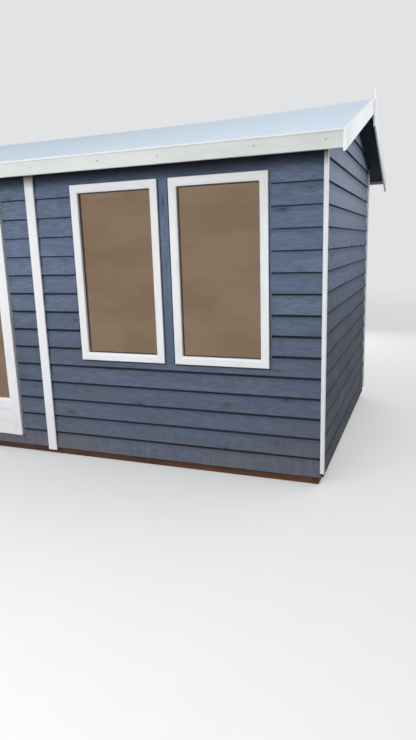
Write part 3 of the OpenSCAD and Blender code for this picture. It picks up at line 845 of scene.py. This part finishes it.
def settle(made):
    """Lets a part of the roof down as far as the real one has sunk."""
    for v in made.bm.verts:
        x, y = abs(v.co.x) / inner_x, abs(v.co.y) / (eave_y - fascia_t)
        v.co.z -= ridge_sag * max(0, 1 - x ** 4) * max(0, 1 - y)


beam_h, beam_top = 0.120, under_z(0)
beam = Joinery(90)
beam.stick([(-half_stud, beam_top - beam_h), (half_stud, beam_top - beam_h), (half_stud, under_z(half_stud)),
            (0, beam_top), (-half_stud, under_z(half_stud))],
           (-inner_x, 0, 0), (inner_x, 0, 0), (0, 1, 0), (0, 0, 1), steps=sag_steps)
settle(beam)
beam.fit("ridge_timber", [bare], "bare_timber", ["ridge_beam"])
purlin_y = inner_y / 2
top, end, deep = under_z(purlin_y), under_z(purlin_y - stud), stud * plumb
purlins = Joinery(91)
for s in (-1, 1):
    purlins.stick([(0, top), (0, top - deep), (stud, end - deep), (stud, end)], (-inner_x, s * purlin_y, 0),
                  (inner_x, s * purlin_y, 0), (0, -s, 0), (0, 0, 1), steps=sag_steps)
settle(purlins)
purlins.fit("purlin_timbers", [bare], "bare_timber", ["purlins"])
rafter_h, collar_h, collar_up = 0.070, 0.070, 0.050
drop, deep = stud * plumb + seat, rafter_h * plumb
collar_z = under_z(inner_y) + collar_up
collar_y = inner_y - (collar_up + drop + deep) / slope
trusses = Joinery(92)
for x in (-joint_x, joint_x):
    for s in (-1, 1):
        trusses.stick([(-half_stud, 0), (half_stud, 0), (half_stud, -deep), (-half_stud, -deep)],
                      (x, s * inner_y, under_z(inner_y) - drop),
                      (x, s * half_stud, under_z(half_stud) - drop), (1, 0, 0), (0, 0, 1))
    trusses.stick([(-half_stud, 0), (half_stud, 0), (half_stud, collar_h), (-half_stud, collar_h)],
                  (x, -collar_y, collar_z), (x, collar_y, collar_z),
                  (1, 0, 0), (0, 0, 1), (0, 1 / slope), (0, -1 / slope))
settle(trusses)
trusses.fit("truss_timbers", [bare], "bare_timber", ["roof_trusses"])


# Matched boards run down each slope over the purlins. What shows outside the walls, under the eaves
# and at the gables, is painted blue, far darker than the walls' blue as painted shade of the overhangs.
verge_x, barge_t, matched_w, matched_v, painted_in = half_w + 0.131, 0.014, 0.115, 0.003, 0.020
soffit = Finish("roof_board_underside")
fibre = soffit.figure(soffit.stored("grain", "Vector"), 1.2, 60.0, 4.0, 0.6)
rings = soffit.between(fibre, 0.35, 0.7)
place = soffit.split(soffit.place())
past_end = soffit.sum("ABSOLUTE", place["X"]) - (half_w - painted_in)
past_side = soffit.sum("ABSOLUTE", place["Y"]) - (half_d - painted_in)
outside = soffit.between(soffit.sum("MAXIMUM", past_end, past_side), -0.002, 0.002)
raw = soffit.blend(rings, tint(208, 176, 132), tint(172, 128, 84))
# Painted shade: the blue outside the walls is made far darker than the walls' own blue.
painted = soffit.blend(rings, tint(25, 35, 54), tint(18, 26, 43))
soffit_coat = soffit.coat(soffit.blend(outside, raw, painted), soffit.between(fibre, 0.3, 0.7, 0.6, 0.75),
                          soffit.bumped(fibre, 0.0004), Specular_IOR_Level=0.15)
felt_v = felt_t * plumb
board_x, board_y = verge_x - barge_t, eave_y - fascia_t
count = round(2 * board_x / matched_w)
wide, deep, v = 2 * board_x / count, roof_t - felt_v - seat, matched_v
section = [(0, 0), (wide, 0), (wide, v - deep), (wide - v, -deep), (v, -deep), (0, v - deep)]
for s, name in ((-1, "front"), (1, "rear")):
    matched = Joinery(100 + s)
    for i in range(count):
        x = -board_x + i * wide
        matched.stick(section, (x, s * board_y, roof_z(board_y) - felt_v - seat),
                      (x, 0, roof_z(0) - felt_v - seat), (1, 0, 0), (0, 0, 1))
    settle(matched)
    matched.fit("matched_boards_" + name, [soffit_coat], "bare_timber", ["roof_boards_" + name])


# Pale mineral felt lies over the boards in lapped widths, pulled over the ridge and held down at
# the eaves and gables by the trim. It is a little loose, has caught dust and is paler towards one end.
felt = Finish("pale_mineral_felt")
place = felt.place()
mineral = felt.cloud(place, 900.0, 2.0, 0.7)
worn = felt.figure(place, 1.4, 3.0, 5.0, 0.6)
scuff = felt.between(felt.cloud(felt.stretch(place, (1.0, 7.0, 7.0)), 2.0, 5.0, 0.7), 0.52, 0.66)
litter = felt.between(felt.cloud(place, 46.0, 3.0, 0.7), 0.67, 0.72)
colour = felt.layered(
    felt.blend(worn, tint(197, 212, 226), tint(211, 223, 235)),
    # Paler towards the right-hand end.
    (felt.between(felt.split(place)["X"], 0.6, 3.0, 0.0, 0.55), tint(227, 241, 253)),
    (scuff * 0.35, tint(228, 234, 240)),
    (mineral * 0.25, tint(172, 188, 206)),
    (litter * 0.35, tint(120, 116, 104)))
felt_coat = felt.coat(colour, felt.between(mineral, 0.3, 0.7, 0.75, 0.95),
                      felt.bumped(mineral * 0.4 + worn, 0.001))
felt_along, felt_up, ripple = 64, 16, 0.0011
for s, name in ((-1, "front"), (1, "rear")):
    sheet = Joinery(110 + s)
    sheet.saw()
    rows = []
    for j in range(felt_up + 1):
        y = s * eave_y * (1 - j / felt_up)
        row = []
        for i in range(felt_along + 1):
            x = -board_x + 2 * board_x * i / felt_along
            loose = ripple * (math.sin(3.1 * x + 2.0 * y) * math.sin(2.3 * x - 5.0 * y + s) - 1.0)
            if min(i, felt_along - i, j, felt_up - j) == 0:
                loose = 0
            row.append((sheet.corner((x, y, roof_z(y) + loose), x, y, 0),
                        sheet.corner((x, y, roof_z(y) - felt_v), x, y, felt_v)))
        rows.append(row)
    for j in range(felt_up):
        for i in range(felt_along):
            quad = (rows[j][i], rows[j][i + 1], rows[j + 1][i + 1], rows[j + 1][i])
            sheet.bm.faces.new([c[0] for c in quad])
            sheet.bm.faces.new([c[1] for c in reversed(quad)])
    rim = rows[0] + [r[-1] for r in rows[1:]] + rows[-1][-2::-1] + [r[0] for r in rows[-2:0:-1]]
    for p, q in zip(rim, rim[1:] + rim[:1]):
        sheet.bm.faces.new((p[0], q[0], q[1], p[1]))
    settle(sheet)
    sheet.fit("felt_" + name, [felt_coat], "roofing_felt", ["roof_felt_" + name])


# Eaves boards close the roof boards' ends between the gable boards, front and rear, with a thin
# batten nailed along the top over the felt's edge. Each is two lengths butted over a truss.
eaves_white = white_finish(
    "eaves_board_paint", tint(209, 213, 211), tint(201, 204, 200), tint(150, 146, 134))
batten_white = white_finish(
    "eaves_batten_paint", tint(227, 228, 230), tint(219, 220, 219), tint(150, 146, 138))
eaves_ease, eaves_gap = 0.0015, 0.0004
batten_t, batten_h, batten_gap, batten_ease = 0.006, 0.010, 0.0006, 0.001
top_out, top_in = (roof_z(y) - felt_v - seat for y in (eave_y, board_y))
for s, name, tall in ((-1, "front", 0.090), (1, "rear", 0.038)):
    boards = Joinery(120 + s)
    low = eave_z - tall
    section = [(0, low + eaves_ease), (eaves_ease, low), (fascia_t, low), (fascia_t, top_in), (0, top_out)]
    for x0, x1 in ((2 * seat - board_x, -joint_x - eaves_gap), (-joint_x + eaves_gap, board_x - 2 * seat)):
        boards.stick(section, (x0, s * eave_y, 0), (x1, s * eave_y, 0), (0, -s, 0), (0, 0, 1), steps=6)
    boards.fit("eaves_board_" + name, [eaves_white], "white_painted_timber", ["fascia_" + name])
    battens = Joinery(124 + s)
    for x0, x1 in ((-board_x, -joint_x), (-joint_x + batten_gap, board_x)):
        battens.timber((x0, s * (eave_y + seat), eave_z - batten_h), (x1, s * (eave_y + batten_t), eave_z),
                       batten_ease)
    battens.fit("eaves_batten_" + name, [batten_white], "white_painted_timber")
rust = speckled_finish("rusting_nail_heads", 500.0, tint(74, 62, 54), tint(124, 96, 74), 0.5, 0.8)
trim_disc = [(1.25 * x, 1.25 * z) for x, z in disc]
trim_in, trim_out = 0.0004, 0.0009
trim_nails = [(eave_y, x, z) for x, z in (
    (1.671, 1.963), (2.055, 1.962), (2.612, 1.964), (2.982, 1.963), (1.20, 1.961), (0.55, 1.964),
    (-0.10, 1.962), (-0.75, 1.963), (-1.30, 1.962), (-1.90, 1.964), (-2.45, 1.962), (-2.98, 1.963))]
trim_nails += [(half_d, -1.969, 1.723), (half_d, 1.969, 1.723)]
heads = Joinery(128)
for y, x, z in trim_nails:
    heads.stick(trim_disc, (x, trim_in - y, z), (x, -trim_out - y, z), (1, 0, 0), (0, 0, 1))
heads.fit("trim_nails", [rust], "satin_steel")


# Gable boards cover the ends of the roof boards and of the felt, and meet at the peak behind a
# short upright board with a square top.
barge_h, barge_rise, barge_ease, meeting = 0.106, 0.014, 0.002, 0.0003
peak_w, peak_t, peak_up, peak_down, peak_ease = 0.080, 0.014, 0.054, 0.176, 0.002
section = [(0, 0), (barge_t - barge_ease, 0), (barge_t, -barge_ease), (barge_t, barge_ease - barge_h),
           (barge_t - barge_ease, -barge_h), (barge_ease, -barge_h), (0, barge_ease - barge_h)]
for s, name in ((-1, "left"), (1, "right")):
    boards = Joinery(130 + s)
    for t in (-1, 1):
        boards.stick(section, (s * board_x, t * eave_y, roof_z(eave_y)),
                     (s * board_x, t * meeting, roof_z(0) + barge_rise), (s, 0, 0), (0, 0, 1), steps=5)
    boards.fit("gable_trim_" + name, [white], "white_painted_timber", ["bargeboards_" + name])
peaks = Joinery(140)
for s in (-1, 1):
    peaks.timber((s * verge_x, -peak_w / 2, roof_z(0) - peak_down),
                 (s * (verge_x + peak_t), peak_w / 2, roof_z(0) + peak_up - seat), peak_ease)
peaks.fit("peak_boards", [white], "white_painted_timber", ["finials"])


# The stage is a pale floor and a pale surround under a dull sky, bright overhead and dim at both
# ends. The floor looks pale to the camera and in mirrors, and throws back only a little light.
floor_r, floor_sides, thrown_back = 60.0, 64, (0.11, 0.11, 0.11, 1.0)
studio = Finish("stage_floor")
rays = studio.node("LightPath")
place = studio.place()
speck = studio.cloud(place, 6.0, 4.0)
shown = studio.blend(speck, tint(226, 226, 225), tint(230, 230, 229))
matt = studio.node("BsdfDiffuse", None, {"Color": studio.blend(rays["Is Camera Ray"], thrown_back, shown)})
even = studio.node("Emission", None, {"Color": studio.blend(speck, tint(226, 227, 228), tint(227, 228, 229))})
reach = studio.node("VectorMath", {"operation": "LENGTH"}, {0: place}, out=1)
far = studio.between(reach, 4.0, 16.0, 0.35, 1.0)
mirrored = studio.sum("MAXIMUM", rays["Is Glossy Ray"], rays["Is Transmission Ray"])
share = studio.sum("MAXIMUM", rays["Is Camera Ray"] * far, mirrored)
studio.node("OutputMaterial", None, {"Surface": studio.node("MixShader", None, {0: share, 1: matt, 2: even})})
rim = [(floor_r * math.cos(t), floor_r * math.sin(t), 0)
       for t in (i * math.tau / floor_sides for i in range(floor_sides))]
floor_bm = bmesh.new()
floor_bm.faces.new([floor_bm.verts.new(point) for point in rim])
floor_mesh = bpy.data.meshes.new("stage_floor")
floor_bm.to_mesh(floor_mesh)
floor_bm.free()
floor_mesh.materials.append(studio.owner)
stage_floor = bpy.data.objects.new("stage_floor", floor_mesh)
bpy.context.scene.collection.objects.link(stage_floor)
stage_floor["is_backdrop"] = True

low_sky, overhead, dim_end = (0.20, 0.21, 0.23, 1.0), (1.45, 1.48, 1.52, 1.0), (0.04, 0.042, 0.046, 1.0)
sky = Finish("dull_sky", bpy.data.worlds)
bpy.context.scene.world = sky.owner
rays = sky.node("LightPath")
mirrored = sky.sum("MAXIMUM", rays["Is Glossy Ray"], rays["Is Transmission Ray"])
seen = sky.sum("MAXIMUM", rays["Is Camera Ray"], mirrored)
towards = sky.split(sky.node("TexCoord")["Generated"])
lift = towards["Z"]
dome = sky.blend(sky.between(lift, 0.05, 1.0), low_sky, overhead)
ends = sky.between(sky.sum("ABSOLUTE", towards["X"]), 0.25, 0.8) * sky.between(lift, 0.3, 0.9, 1.0, 0.0)
dome = sky.blend(ends * 0.7, dome, dim_end)
lighting = sky.node("Background", None, {"Color": dome, "Strength": 0.8})
backdrop = sky.node("Background", None, {"Color": tint(226, 227, 228), "Strength": 1.0})
sky.node("OutputWorld", None, {"Surface": sky.node("MixShader", None, {0: seen, 1: lighting, 2: backdrop})})

# Broad soft lamps stand at the front and the rear, and smaller ones close to both gables. None of
# them shows itself, in the glass either.
for name, stands, aim, w, h, watts in (
        ("front", (0.8, -5.4, 2.1), (0.8, 0.0, 2.1), 6.2, 1.4, 196.0),
        ("right", (4.4, -0.3, 2.1), (2.95, -0.1, 1.8), 2.6, 0.5, 22.0),
        ("rear", (0.0, 5.4, 2.1), (0.0, 0.0, 2.1), 5.8, 1.4, 150.0),
        ("left", (-4.4, 0.0, 2.1), (-2.95, 0.0, 1.8), 2.6, 0.5, 21.0)):
    lamp = bpy.data.objects.new("soft_lamp_" + name, bpy.data.lights.new("soft_lamp_" + name, "AREA"))
    lamp.data.shape = "RECTANGLE"
    lamp.data.size, lamp.data.size_y = w, h
    lamp.data.energy = watts
    lamp.location = stands
    lamp.rotation_euler = (Vector(aim) - lamp.location).to_track_quat("-Z", "Y").to_euler()
    lamp.visible_camera = lamp.visible_glossy = lamp.visible_transmission = False
    bpy.context.scene.collection.objects.link(lamp)
bpy.context.scene.view_settings.view_transform = "Standard"

low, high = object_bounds()
